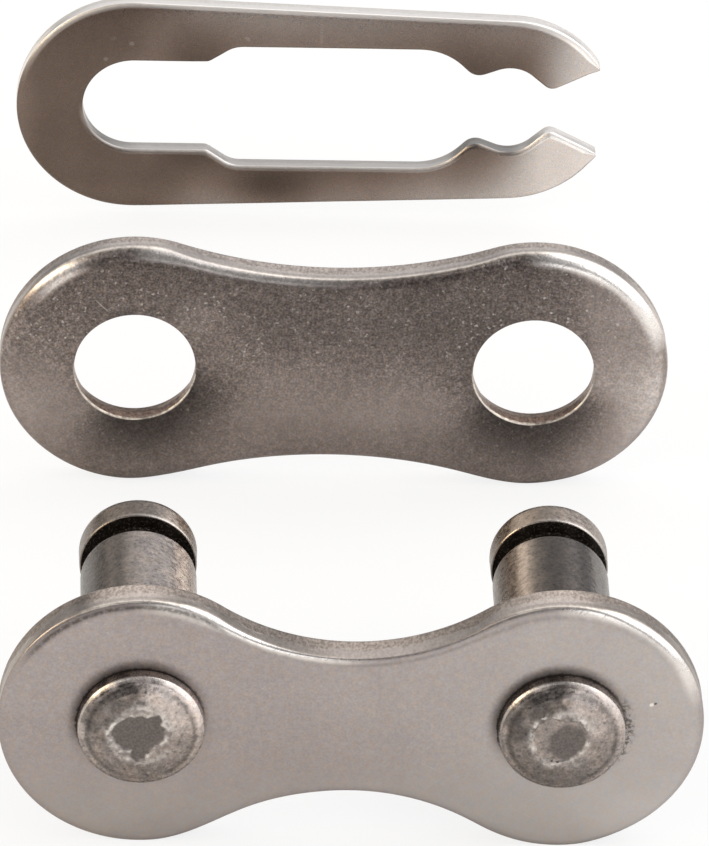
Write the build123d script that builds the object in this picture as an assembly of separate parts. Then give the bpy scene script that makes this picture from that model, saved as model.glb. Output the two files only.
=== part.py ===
"""Connecting link of a half-inch pitch roller chain, drawn apart along its pins.

Millimetres, +Z up.  X runs along the chain and Y along the pins.  The origin is the middle of
the link: halfway between the two pins, on the chain's centre plane.  The pin link stands in
front.  The cover plate and the spring clip wait behind it, in line with the pins.
"""
from build123d import *
from math import acos, atan2, cos, degrees, hypot, pi, sin
import os

# ---- the chain ---------------------------------------------------------------------------
PITCH = 12.7                    # between the two pin axes
INNER_LINK_ROOM = 5.95          # between the two plates, for the chain's inner link

# ---- plates ------------------------------------------------------------------------------
LOBE_RADIUS = 4.30              # round ends of both plates
PIN_PLATE_THICKNESS = 1.10
PIN_PLATE_WAIST = 2.37          # half height at the middle of the pin plate
COVER_THICKNESS = 1.00
COVER_WAIST = 3.26              # half height at the middle of the cover plate
STAMPED_EDGE = 0.30             # how far stamping rolls over a plate's front edge
ROLL_FLATS = 5                  # narrow flats that make up the rolled edge
BACK_EDGE = 0.08                # the sharper edge behind it
HOLE_RIM = 0.14                 # lead-in of the cover plate's holes at the front
HOLE_BREAK_WIDTH = 0.14         # behind, where the punch broke through, they widen
HOLE_BREAK_LENGTH = 0.45

# ---- pins --------------------------------------------------------------------------------
PIN_RADIUS = 1.79
NECK_RADIUS = 1.33              # bottom of the groove that takes the clip
GROOVE_WIDTH = 0.82
END_HEAD_FLARE = 0.04           # how far the end head stands out past the shank
END_HEAD_LENGTH = 1.20
END_ROUND_WIDTH = 0.50          # the end head's rounded rim, across the pin
END_ROUND_LENGTH = 0.48         # and along it
TURNED_EDGE = 0.05              # the groove's edges, broken on the lathe
RIVET_RADIUS = 1.925            # the riveted head, where it meets the plate
RIVET_DRAFT = 0.02              # how much its side leans in
RIVET_WALL = 0.40               # height of that side
RIVET_SWELL = 0.04              # riveting swells the pin's end, and the plate's hole with it
RIVET_HEIGHT = 0.69             # from the plate to the flat on top
RIVET_FLAT_RADIUS = 0.92
RIVET_DOME_BULGE = 0.05         # how far the dome stands out of a straight cone

# ---- spring clip -------------------------------------------------------------------------
CLIP_THICKNESS = 0.55
CLIP_EYE_X = -6.25              # centre of the closed end
CLIP_END_RADIUS = 3.88          # outside of the closed end
CLIP_ARM_X = 6.45               # where the straight outer edges end
CLIP_ARM_HALF = 3.38            # outer half height there
CLIP_SHOULDER_X = 8.12          # a point half way round the outer curve of the tips
CLIP_SHOULDER_HALF = 2.80
CLIP_TIP_X = 9.22
CLIP_TIP_HALF = 1.62
SLOT_HALF = 1.68                # the closed end's slot, round the left pin's neck
STEP_X = -3.78                  # where the slot widens, to pass over a pin's head
STEP_RUN = 0.83
WIDE_SLOT_HALF = 2.26
WIDE_SLOT_END_X = 4.05
RIDGE_X = 5.06                  # the ridge in front of the right pin
RIDGE_HALF = 1.21
NOTCH_X = 6.45                  # the notch that snaps over the right pin's neck
NOTCH_HALF = 1.78
THROAT_X = 7.58                 # the narrowest place of the mouth
THROAT_HALF = 0.76
STEP_ROUNDING = 0.30
WIDE_SLOT_ROUNDING = 0.90
WIDE_SLOT_END_ROUNDING = 2.00
RIDGE_ROUNDING = 0.50
NOTCH_ROUNDING = 1.10
THROAT_ROUNDING = 0.33
CLIP_TIP_ROUNDING = 0.08
CLIP_EDGE = 0.06                # bevel along the clip's front edges

# ---- fits --------------------------------------------------------------------------------
COVER_CLEARANCE = 0.10          # a cover hole round an end head, on the radius
SEAT_CLEARANCE = 0.05           # the seated cover plate stops this far short of the grooves

# ---- how far the pieces are drawn apart --------------------------------------------------
COVER_APART = 13.55
CLIP_APART = 15.53

# ---- stations along Y --------------------------------------------------------------------
PLATE_BACK = -INNER_LINK_ROOM / 2
PLATE_FRONT = PLATE_BACK - PIN_PLATE_THICKNESS
RIVET_TOP = PLATE_FRONT - RIVET_HEIGHT
COVER_SEAT = INNER_LINK_ROOM / 2
SHANK_END = COVER_SEAT + COVER_THICKNESS + SEAT_CLEARANCE
HEAD_START = SHANK_END + GROOVE_WIDTH
PIN_END = HEAD_START + END_HEAD_LENGTH
CLIP_SEAT = SHANK_END + (GROOVE_WIDTH - CLIP_THICKNESS) / 2
COVER_FRONT = COVER_SEAT + COVER_APART
CLIP_FRONT = CLIP_SEAT + COVER_APART + CLIP_APART

END_HEAD_RADIUS = PIN_RADIUS + END_HEAD_FLARE
COVER_HOLE_RADIUS = END_HEAD_RADIUS + COVER_CLEARANCE
ALONG_PINS = (0, 1, 0)


def slab(outline, front, thickness):
    """A flat piece with this outline in X and Z, running back from the station front."""
    return extrude(Plane.XZ.offset(-front) * outline, amount=thickness, dir=ALONG_PINS)


def front_face(piece):
    return piece.faces().filter_by(Axis.Y).sort_by(Axis.Y)[0]


def back_face(piece):
    return piece.faces().filter_by(Axis.Y).sort_by(Axis.Y)[-1]


def plate_outline(waist, inset=0.0):
    """Two round lobes joined above and below by one hollow arc, tangent to both."""
    half_pitch = PITCH / 2
    hollow = (waist**2 + half_pitch**2 - LOBE_RADIUS**2) / (2 * (LOBE_RADIUS - waist))
    rise = waist + hollow
    lean = degrees(atan2(rise, half_pitch))
    lobe = LOBE_RADIUS - inset
    hollow += inset
    return make_face([
        CenterArc((half_pitch, 0), lobe, lean - 180, 360 - 2 * lean),
        CenterArc((0, rise), hollow, lean - 180, 180 - 2 * lean),
        CenterArc((-half_pitch, 0), lobe, lean, 360 - 2 * lean),
        CenterArc((0, -rise), hollow, lean, 180 - 2 * lean),
    ])


def rolled_edge(waist, front):
    """The first layer of a plate, whose outline widens over a quarter round."""
    sections = []
    for flat in range(ROLL_FLATS + 1):
        turn = pi / 2 * flat / ROLL_FLATS
        station = front + STAMPED_EDGE * (1 - cos(turn))
        outline = plate_outline(waist, STAMPED_EDGE * (1 - sin(turn)))
        sections.append(Plane.XZ.offset(-station) * outline)
    return loft(sections, ruled=True)


def stamped_plate(waist, front, thickness):
    """A plate blanked from strip: its front edge is rolled over and its back edge is sharper."""
    wall = slab(plate_outline(waist), front + STAMPED_EDGE, thickness - STAMPED_EDGE)
    plate = rolled_edge(waist, front) + wall
    return chamfer(back_face(plate).outer_wire().edges(), BACK_EDGE)


def make_pin_plate():
    """The plate that carries both pins; they fill its two holes."""
    plate = stamped_plate(PIN_PLATE_WAIST, PLATE_FRONT, PIN_PLATE_THICKNESS)
    for x in (-PITCH / 2, PITCH / 2):
        plate -= Pos(x, 0, 0) * swollen_end()
    return plate


def swollen_end():
    """The stretch of a pin inside the pin plate, a little wider at the front."""
    half_section = Polyline(
        (0, PLATE_FRONT),
        (PIN_RADIUS + RIVET_SWELL, PLATE_FRONT),
        (PIN_RADIUS, PLATE_BACK),
        (0, PLATE_BACK),
        (0, PLATE_FRONT),
    )
    return revolve(make_face(half_section), Axis.Y)


def make_cover_plate():
    """The loose plate, which slips over the pins' end heads."""
    plate = stamped_plate(COVER_WAIST, COVER_FRONT, COVER_THICKNESS)
    for x in (-PITCH / 2, PITCH / 2):
        plate -= Pos(x, 0, 0) * punched_hole()
    return plate


def punched_hole():
    """A lead-in, a straight stretch, then a wider end where the punch broke through."""
    back = COVER_FRONT + COVER_THICKNESS
    half_section = Polyline(
        (0, COVER_FRONT),
        (COVER_HOLE_RADIUS + HOLE_RIM, COVER_FRONT),
        (COVER_HOLE_RADIUS, COVER_FRONT + HOLE_RIM),
        (COVER_HOLE_RADIUS, back - HOLE_BREAK_LENGTH),
        (COVER_HOLE_RADIUS + HOLE_BREAK_WIDTH, back),
        (0, back),
        (0, COVER_FRONT),
    )
    return revolve(make_face(half_section), Axis.Y)


def pin_profile():
    """Half of a pin's length section: radius in X, station in Y."""
    dome_foot = (RIVET_RADIUS - RIVET_DRAFT, PLATE_FRONT - RIVET_WALL)
    dome_top = (RIVET_FLAT_RADIUS, RIVET_TOP)
    dome_middle = (
        (dome_foot[0] + dome_top[0]) / 2 + RIVET_DOME_BULGE,
        (dome_foot[1] + dome_top[1]) / 2 - RIVET_DOME_BULGE,
    )
    round_centre = (END_HEAD_RADIUS - END_ROUND_WIDTH, PIN_END - END_ROUND_LENGTH)
    round_start = (END_HEAD_RADIUS, round_centre[1])
    round_end = (round_centre[0], PIN_END)
    dome = ThreePointArc(dome_top, dome_middle, dome_foot)
    side = Polyline(
        dome_foot,
        (RIVET_RADIUS, PLATE_FRONT),
        (PIN_RADIUS + RIVET_SWELL, PLATE_FRONT),
        (PIN_RADIUS, PLATE_BACK),
        (PIN_RADIUS, SHANK_END - TURNED_EDGE),
        (PIN_RADIUS - TURNED_EDGE, SHANK_END),
        (NECK_RADIUS, SHANK_END),
        (NECK_RADIUS, HEAD_START),
        (END_HEAD_RADIUS - TURNED_EDGE, HEAD_START),
        (END_HEAD_RADIUS, HEAD_START + TURNED_EDGE),
        round_start,
    )
    rounded_rim = EllipticalCenterArc(
        round_centre, END_ROUND_WIDTH, END_ROUND_LENGTH, start_angle=0, arc_size=90
    )
    axis = Polyline(round_end, (0, PIN_END), (0, RIVET_TOP), dome_top)
    return make_face([dome, side, rounded_rim, axis])


def make_pin(x):
    """A turned pin: riveted head in front of the plate, shank, clip groove, rounded end head."""
    return Pos(x, 0, 0) * revolve(pin_profile(), Axis.Y)


def arm_inner_edge(side):
    """The slot's edge along one arm, from the closed end to the tip; side is 1 above, -1 below."""
    corners = [
        (CLIP_EYE_X, SLOT_HALF),
        (STEP_X, SLOT_HALF),
        (STEP_X + STEP_RUN, WIDE_SLOT_HALF),
        (WIDE_SLOT_END_X, WIDE_SLOT_HALF),
        (RIDGE_X, RIDGE_HALF),
        (NOTCH_X, NOTCH_HALF),
        (THROAT_X, THROAT_HALF),
        (CLIP_TIP_X, CLIP_TIP_HALF),
    ]
    roundings = [
        STEP_ROUNDING,
        WIDE_SLOT_ROUNDING,
        WIDE_SLOT_END_ROUNDING,
        RIDGE_ROUNDING,
        NOTCH_ROUNDING,
        THROAT_ROUNDING,
    ]
    return FilletPolyline(*[(x, side * z) for x, z in corners], radius=roundings)


def arm_outer_edge(side, leaving):
    """One arm's straight outside, then the curve round to its tip."""
    start = (
        CLIP_EYE_X + CLIP_END_RADIUS * leaving[0],
        side * CLIP_END_RADIUS * leaving[1],
    )
    arm_end = (CLIP_ARM_X, side * CLIP_ARM_HALF)
    shoulder = (CLIP_SHOULDER_X, side * CLIP_SHOULDER_HALF)
    tip = (CLIP_TIP_X, side * CLIP_TIP_HALF)
    return [Line(start, arm_end), ThreePointArc(arm_end, shoulder, tip)]


def clip_outline():
    """The clip seen along the pins: a closed round end and two arms that grip the right pin."""
    reach = CLIP_ARM_X - CLIP_EYE_X
    turn = atan2(CLIP_ARM_HALF, reach) + acos(CLIP_END_RADIUS / hypot(reach, CLIP_ARM_HALF))
    tangent = Vector(1, 0).rotate(Axis.Z, degrees(turn))
    leaving = (tangent.X, tangent.Y)
    closed_end = CenterArc(
        (CLIP_EYE_X, 0), CLIP_END_RADIUS, degrees(turn), 360 - 2 * degrees(turn)
    )
    slot_end = CenterArc((CLIP_EYE_X, 0), SLOT_HALF, 90, 180)
    edges = [closed_end, slot_end]
    for side in (1, -1):
        edges.append(arm_inner_edge(side))
        edges.extend(arm_outer_edge(side, leaving))
    outline = make_face(edges)
    tips = outline.vertices().sort_by(Axis.X)[-2:]
    return fillet(tips, CLIP_TIP_ROUNDING)


def make_spring_clip():
    clip = slab(clip_outline(), CLIP_FRONT, CLIP_THICKNESS)
    return chamfer(front_face(clip).edges(), CLIP_EDGE)


def main():
    pieces = {
        "pin_plate": make_pin_plate(),
        "left_pin": make_pin(-PITCH / 2),
        "right_pin": make_pin(PITCH / 2),
        "cover_plate": make_cover_plate(),
        "spring_clip": make_spring_clip(),
    }
    os.makedirs("parts", exist_ok=True)
    for node, piece in pieces.items():
        export_step(piece, f"parts/{node}.step")


main()
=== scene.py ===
from math import acos, asin, atan2, ceil, cos, exp, hypot, pi, sin, tan

import bpy
from mathutils import Matrix, Vector, geometry, kdtree, noise


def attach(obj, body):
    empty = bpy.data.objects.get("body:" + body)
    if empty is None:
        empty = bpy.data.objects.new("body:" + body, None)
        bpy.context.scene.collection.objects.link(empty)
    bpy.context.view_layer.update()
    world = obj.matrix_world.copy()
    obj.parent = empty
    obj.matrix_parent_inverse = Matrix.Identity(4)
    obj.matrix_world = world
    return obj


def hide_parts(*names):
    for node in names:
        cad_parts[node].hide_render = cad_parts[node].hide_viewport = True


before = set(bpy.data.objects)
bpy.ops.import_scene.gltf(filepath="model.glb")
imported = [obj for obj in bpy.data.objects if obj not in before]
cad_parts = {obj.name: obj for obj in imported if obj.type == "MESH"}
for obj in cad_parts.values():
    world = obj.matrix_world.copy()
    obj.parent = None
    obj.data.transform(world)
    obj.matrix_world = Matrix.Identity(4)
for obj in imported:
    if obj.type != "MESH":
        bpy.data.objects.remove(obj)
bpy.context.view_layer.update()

MM = 0.001

# ---- sizes, as in the part's source (mm) -----------------------------------------------------
HALF_PITCH = 6.35
LOBE_RADIUS = 4.30
PIN_PLATE_WAIST = 2.37
COVER_WAIST = 3.26
PLATE_FRONT, PLATE_BACK = -4.075, -2.975
COVER_FRONT, COVER_BACK = 16.525, 17.525
COVER_HOLE = 1.93
HOLE_BREAK_WIDTH = 0.14
CLIP_FRONT, CLIP_BACK = 33.24, 33.79
CLIP_EYE_X = -6.25
PIN_RADIUS = 1.79
NECK_RADIUS = 1.33
SHANK_END = 4.025
HEAD_START = 4.845
PIN_END = 6.045
END_HEAD_RADIUS = 1.83
RIVET_RADIUS = 1.925
RIVET_TOP = -4.765
RIVET_SWELL = 0.04
END_ROUND_WIDTH, END_ROUND_LENGTH = 0.50, 0.48

# ---- how the meshes are made (mm) ------------------------------------------------------------
RIVET_SHOULDER = -4.40  # where the riveted head's dome meets its side
RIVET_FACE = RIVET_TOP + 0.018  # its flat, before the stake's marks
SAME_POINT = 1e-4
MERGE_WITHIN = 1e-7
SLIVER = 1e-5  # twice the area below which a face counts as a sliver
FAR_IN = 9.0  # stands for the middle of a sheet, far from its outline
FACE_SPACING, CLIP_SPACING = 0.12, 0.1
BACK_ROWS = 3
RIM_ROWS = 12

# ---- colours ---------------------------------------------------------------------------------
DARK_FLECK = (0.05, 0.04, 0.035)
# pale colour of painted highlight lines along bore rims and burrs
RIM_HIGHLIGHT = (0.92, 0.84, 0.74)
# the dark of lines and rings on the plates: partly oily dirt, partly painted shade
OILY_DIRT_AND_SHADE = (0.035, 0.026, 0.02)
# the tan also stands for painted golden reflections along the shanks
PIN_GREY, PIN_WARM, PIN_TAN_AND_GOLD_REFLECTION = (0.270, 0.240, 0.229), (0.285, 0.243, 0.220), (0.305, 0.238, 0.185)
# the pins' polished edges, which also carry painted highlights
PIN_POLISH_AND_HIGHLIGHT = (0.62, 0.58, 0.55)
STAKE_GREY, STAKE_FLECKS = (0.175, 0.155, 0.148), (0.80, 0.77, 0.74)
# the dark in the pins' groove and at their base: partly dirt, partly painted shade
GROOVE_DIRT_AND_SHADE, GROOVE_SPECKS = (0.014, 0.011, 0.009), (0.13, 0.115, 0.10)
FLOOR_GREY = (0.86, 0.86, 0.86)

# ---- camera and surroundings -----------------------------------------------------------------
PHOTO_HEIGHT = 846  # pixels
FOCAL_LENGTH = 10371  # pixels
SENSOR = 36.0
CAMERA_PLACE = (-12.49, -265.225, 171.32)  # mm
CAMERA_RIGHT = (0.9991, -0.0268, 0.0325)
CAMERA_UP = (-0.0136, 0.52422, 0.85145)
FLOOR_HALF = 3000  # mm
LAMP_DISTANCE = 0.45  # metres
LAMP_AIM = (0, 12, 0)  # mm


# ---- small helpers ---------------------------------------------------------------------------
def smooth(low, high, value):
    t = min(1.0, max(0.0, (value - low) / (high - low)))
    return t * t * (3 - 2 * t)


def wave(x, y, z, scale, seed=0.0):
    """Smooth noise from about -1 to 1; scale is in waves per mm."""
    return noise.noise(Vector((x * scale + seed, y * scale - seed, z * scale + 2 * seed)))


def stripe(angle, middle, width):
    """1 at an angle, fading round to 0 away from it."""
    gap = (angle - middle + pi) % (2 * pi) - pi
    return exp(-(gap / width) ** 2)


class Shell:
    """A mesh being built, in mm, with a few numbers kept at each vertex for its material."""

    # tone carries painted light and shade besides random tone, edge carries polish and painted
    # highlights, rim on the sheets painted highlight lines, the dirt mark dirt and painted shade,
    # and tan a tan tint and painted golden reflections
    MARKS = ("tone", "edge", "wall", "band", "bore", "dirt", "mark", "rim", "tan")

    def __init__(self):
        self.points = []
        self.faces = []
        self.marks = {name: [] for name in self.MARKS}

    def add(self, x, y, z, **marks):
        self.points.append((x * MM, y * MM, z * MM))
        for name in self.MARKS:
            self.marks[name].append(marks.get(name, 0.0))
        return len(self.points) - 1

    def bridge(self, ring, following):
        """Quads between two closed rings; ring's outside is to the right of its direction."""
        count = len(ring)
        for i in range(count):
            j = (i + 1) % count
            self.faces.append((ring[i], following[i], following[j], ring[j]))

    def make(self, name, material):
        mesh = bpy.data.meshes.new(name)
        mesh.from_pydata(self.points, [], self.faces)
        for mark, values in self.marks.items():
            if any(values):
                mesh.attributes.new(mark, "FLOAT", "POINT").data.foreach_set("value", values)
        mesh.materials.append(material)
        mesh.polygons.foreach_set("use_smooth", [True] * len(mesh.polygons))
        mesh.validate()
        mesh.update()
        piece = bpy.data.objects.new(name, mesh)
        bpy.context.scene.collection.objects.link(piece)
        return piece


def rounded(corners, step):
    """Points along an open polyline of (x, y, rounding), no farther apart than step."""
    path = []
    for i, (x, y, radius) in enumerate(corners):
        here = Vector((x, y))
        if not radius or i in (0, len(corners) - 1):
            path.append(here)
            continue
        to_last = (Vector(corners[i - 1][:2]) - here).normalized()
        to_next = (Vector(corners[i + 1][:2]) - here).normalized()
        half = acos(max(-1.0, min(1.0, to_last.dot(to_next)))) / 2
        centre = here + (to_last + to_next).normalized() * radius / sin(half)
        start = here + to_last * radius / tan(half) - centre
        side = 1 if to_last.cross(to_next) < 0 else -1
        turn = side * (pi - 2 * half)
        pieces = max(3, ceil(abs(turn) * radius / step), ceil(abs(turn) / 0.2))
        for k in range(pieces + 1):
            path.append(centre + Matrix.Rotation(turn * k / pieces, 2) @ start)
    filled = [path[0]]
    for point in path[1:]:
        last = filled[-1]
        pieces = max(1, ceil((point - last).length / step))
        filled += [last.lerp(point, k / pieces) for k in range(1, pieces + 1)]
    return filled


def arc(centre, radius, start, end, step):
    pieces = max(2, ceil(abs(end - start) * radius / step))
    angles = [start + (end - start) * k / pieces for k in range(pieces + 1)]
    return [Vector((centre[0] + radius * cos(a), centre[1] + radius * sin(a))) for a in angles]


class Loop:
    """A closed edge of a sheet, with the sheet on the left of its direction.

    outward points away from the sheet, and bend is 1/radius, positive where the edge is convex.
    """

    def __init__(self, points, soften=0):
        clean = []
        for point in points:
            if not clean or (point - clean[-1]).length > SAME_POINT:
                clean.append(point)
        if (clean[0] - clean[-1]).length < SAME_POINT:
            clean.pop()
        for _ in range(soften):
            clean = [
                (clean[i - 1] + 2 * clean[i] + clean[(i + 1) % len(clean)]) / 4
                for i in range(len(clean))
            ]
        self.points = clean
        count = len(clean)
        self.outward, self.bend = [], []
        for i, here in enumerate(clean):
            before = here - clean[i - 1]
            after = clean[(i + 1) % count] - here
            heading = before.normalized() + after.normalized()
            heading.normalize()
            self.outward.append(Vector((heading.y, -heading.x)))
            turn = before.normalized().cross(after.normalized())
            self.bend.append(2 * asin(max(-1, min(1, turn))) / (before.length + after.length))

    def roll(self, wide, narrow, seed, depth):
        """How far the rolled edge reaches in, and how deep it is, at each point.

        wide is the reach at a convex edge and narrow at a hollow one. It is less where the edge
        bends tightly. depth(outward) is a share of the reach.
        """
        count = len(self.points)
        reach = []
        for here, bend in zip(self.points, self.bend):
            width = narrow + (wide - narrow) * smooth(-0.05, 0.2, bend)
            reach.append(width * (1 + 0.08 * wave(here.x, seed, here.y, 0.5, seed)))
        for _ in range(60):
            reach = [(reach[i - 1] + 2 * reach[i] + reach[(i + 1) % count]) / 4
                     for i in range(count)]
        reach = [min(width, 0.6 / max(bend, 0.01)) for width, bend in zip(reach, self.bend)]
        for order in (range(2 * count), reversed(range(2 * count))):
            last = None
            for k in order:
                i = k % count
                if last is not None:
                    gap = (self.points[i] - self.points[last]).length
                    reach[i] = min(reach[i], reach[last] + 0.35 * gap)
                last = i
        return reach, [width * depth(out) for width, out in zip(reach, self.outward)]


def nothing(*_):
    return 0.0


def sheet(shell, loops, front, back, spacing, seed, lift, tone, wall_tone, rub_and_highlight,
          rub_and_highlight_span=(0.1, 0.6), shade_line=nothing, burr_highlight=nothing, painted_highlight=nothing, wall_rows=10,
          roll_rows=10, back_edge=0.06, rough_wall=0.012):
    """A stamped sheet: its face, rolled front edges, side walls, small back edges and back.

    loops holds (Loop, (roll reach at each point, roll depth at each point), is a bore),
    the outline first.
    lift(x, z, gap) sinks the face, where gap is the distance to the sheet's outline.
    tone(x, z) and wall_tone(point, outward) lighten or darken the face and the side wall, with
    painted light and shade and some random tone. rub(point, outward) says how far an edge is
    brightened, partly worn and partly by a painted highlight, over the part rub_and_highlight_span
    of the roll, and burr how far it ends in a painted bright line, a burr's highlight, with a
    painted dark crease behind it. glow(point, outward) adds a painted highlight to the roll, and
    soil(point, outward, turn) paints a dark line on it, a painted dark reflection.
    """
    front_rings, back_rings = [], []
    for loop, (reach, depth), bore in loops:
        rings = []
        # the rolled front edge
        for row in range(roll_rows + 1):
            turn = pi / 2 * row / roll_rows
            ring = []
            for point, out, width, fall in zip(loop.points, loop.outward, reach, depth):
                inset = width * (1 - sin(turn))
                spot = point - out * inset
                y = front + fall * (1 - cos(turn))
                y += lift(spot.x, spot.y, FAR_IN if bore else width) * cos(turn)
                upright = smooth(0.93, 1, sin(turn))
                # the face's painted light and shade fades up the roll, and a painted highlight is
                # added there
                face_tone = tone(spot.x, spot.y) * (1 - 0.7 * smooth(0.5, 1, sin(turn)))
                face_tone += painted_highlight(point, out) * smooth(0, 0.35, sin(turn))
                ring.append(shell.add(
                    spot.x, y, spot.y, wall=upright, bore=upright * bore,
                    edge=smooth(*rub_and_highlight_span, sin(turn)) * rub_and_highlight(point, out),
                    tone=face_tone + (wall_tone(point, out) - face_tone) * upright,
                    # rim: a painted highlight along the lower part of a bore's front edge, and a
                    # burr's painted bright line
                    rim=max(bore * smooth(0.2, 0.8, sin(turn)) * smooth(-0.2, 0.4, out.y),
                            burr_highlight(point, out) * smooth(0.88, 0.96, sin(turn))),
                    # a painted dark line along the roll
                    dirt=shade_line(point, out, turn),
                ))
            rings.append(ring)
        front_rings.append(rings[0])
        # the side wall
        for row in range(1, wall_rows + 1):
            ring = []
            for point, out, fall in zip(loop.points, loop.outward, depth):
                start = front + fall
                part = row / wall_rows
                y = start + (back - back_edge - start) * part
                # the punch cuts the front part cleanly and tears the rest
                torn = smooth(0.42, 0.62, part + 0.12 * wave(point.x, 0, point.y, 0.7, seed))
                inset = rough_wall * torn * (1 + 0.8 * wave(point.x, y, point.y, 3.0, seed))
                if row == wall_rows:
                    inset *= 0.5
                inset = max(0.0, inset) + HOLE_BREAK_WIDTH * max(0.0, 2 * part - 1) * bore
                spot = point - out * inset
                ridge = burr_highlight(point, out)
                ring.append(shell.add(
                    spot.x, y, spot.y, edge=(1 - smooth(0, 0.1, part)) * rub_and_highlight(point, out),
                    # a burr's painted dark crease on the wall, and its painted bright line at the
                    # wall's front
                    tone=wall_tone(point, out) - ridge * exp(-((part - 0.16) / 0.07) ** 2),
                    rim=ridge * (1 - smooth(0, 0.12, part)), wall=1.0, band=part, bore=bore))
            rings.append(ring)
        # the small back edge
        for row in range(1, BACK_ROWS + 1):
            turn = pi / 2 * row / BACK_ROWS
            ring = []
            for point, out in zip(loop.points, loop.outward):
                spot = point - out * (
                    rough_wall * 0.5 + HOLE_BREAK_WIDTH * bore + back_edge * (1 - cos(turn)))
                y = back - back_edge * (1 - sin(turn))
                ring.append(shell.add(
                    spot.x, y, spot.y, wall=1 - smooth(0.3, 1, sin(turn)), band=1.0, bore=bore))
            rings.append(ring)
        back_rings.append(rings[-1])
        for ring, following in zip(rings, rings[1:]):
            shell.bridge(ring, following)
    outline = kdtree.KDTree(len(loops[0][0].points))
    for k, point in enumerate(loops[0][0].points):
        outline.insert((*point, 0), k)
    outline.balance()

    def front_point(x, z):
        gap = outline.find((x, z, 0))[2]
        return shell.add(x, front + lift(x, z, gap), z, tone=tone(x, z))

    fill(shell, front_rings, spacing, 1, front_point)
    fill(shell, back_rings, 3 * spacing, -1, lambda x, z: shell.add(x, back, z))


def fill(shell, rings, spacing, side, new_point):
    """The flat inside a sheet's rings, on an even grid of points; side is -1 for the back."""
    flat, outward, ids, edges = [], [], [], []
    for ring in rings:
        start = len(flat)
        spots = [Vector((shell.points[k][0] / MM, shell.points[k][2] / MM)) for k in ring]
        for k, spot in enumerate(spots):
            heading = spots[(k + 1) % len(spots)] - spots[k - 1]
            outward.append(Vector((heading.y, -heading.x)))
            edges.append((start + k, start + (k + 1) % len(ring)))
        flat += spots
        ids += ring
    tree = kdtree.KDTree(len(flat))
    for k, spot in enumerate(flat):
        tree.insert((*spot, 0), k)
    tree.balance()

    def room(spot):
        """Distance to the nearest ring: positive on the sheet."""
        near, k, gap = tree.find((*spot, 0))
        return gap if (spot - near.xy).dot(outward[k]) < 0 else -gap

    low = Vector((min(p.x for p in flat), min(p.y for p in flat)))
    high = Vector((max(p.x for p in flat), max(p.y for p in flat)))
    rise = spacing * 3**0.5 / 2
    grid = []
    for j in range(ceil((high.y - low.y) / rise)):
        for i in range(ceil((high.x - low.x) / spacing)):
            spot = Vector((low.x + (i + j % 2 / 2) * spacing, low.y + j * rise))
            if room(spot) > 0.6 * spacing:
                grid.append(spot)
    points, _, faces, origins, _, _ = geometry.delaunay_2d_cdt(
        flat + grid, edges, [], 0, MERGE_WITHIN, True)
    place = {}
    for face in faces:
        first, second, third = (points[k] for k in face)
        a, b, c = known = [next((i for i in origins[k] if i < len(ids)), -1) for k in face]
        inside = room((first + second + third) / 3)
        if min(known) >= 0 and (second - first).cross(third - first) < SLIVER:
            # a sliver along a ring: the order of its corners says on which side it lies
            inside = (b - a) * (c - b) * (c - a)
        if inside <= 0:
            continue
        for k, origin in zip(face, known):
            if k not in place:
                place[k] = ids[origin] if origin >= 0 else new_point(*points[k])
        corners = tuple(place[k] for k in face)
        shell.faces.append(corners if side == 1 else corners[::-1])


def plate_loop(waist, step=0.06):
    hollow = (waist**2 + HALF_PITCH**2 - LOBE_RADIUS**2) / (2 * (LOBE_RADIUS - waist))
    rise = waist + hollow
    lean = atan2(rise, HALF_PITCH)
    return Loop(
        arc((HALF_PITCH, 0), LOBE_RADIUS, lean - pi, pi - lean, step)
        + arc((0, rise), hollow, -lean, lean - pi, step)
        + arc((-HALF_PITCH, 0), LOBE_RADIUS, lean, 2 * pi - lean, step)
        + arc((0, -rise), hollow, pi - lean, lean, step)
    )


def hole_loop(x, radius, step=0.06):
    return Loop(arc((x, 0), radius, 2 * pi, 0, step))


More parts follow.
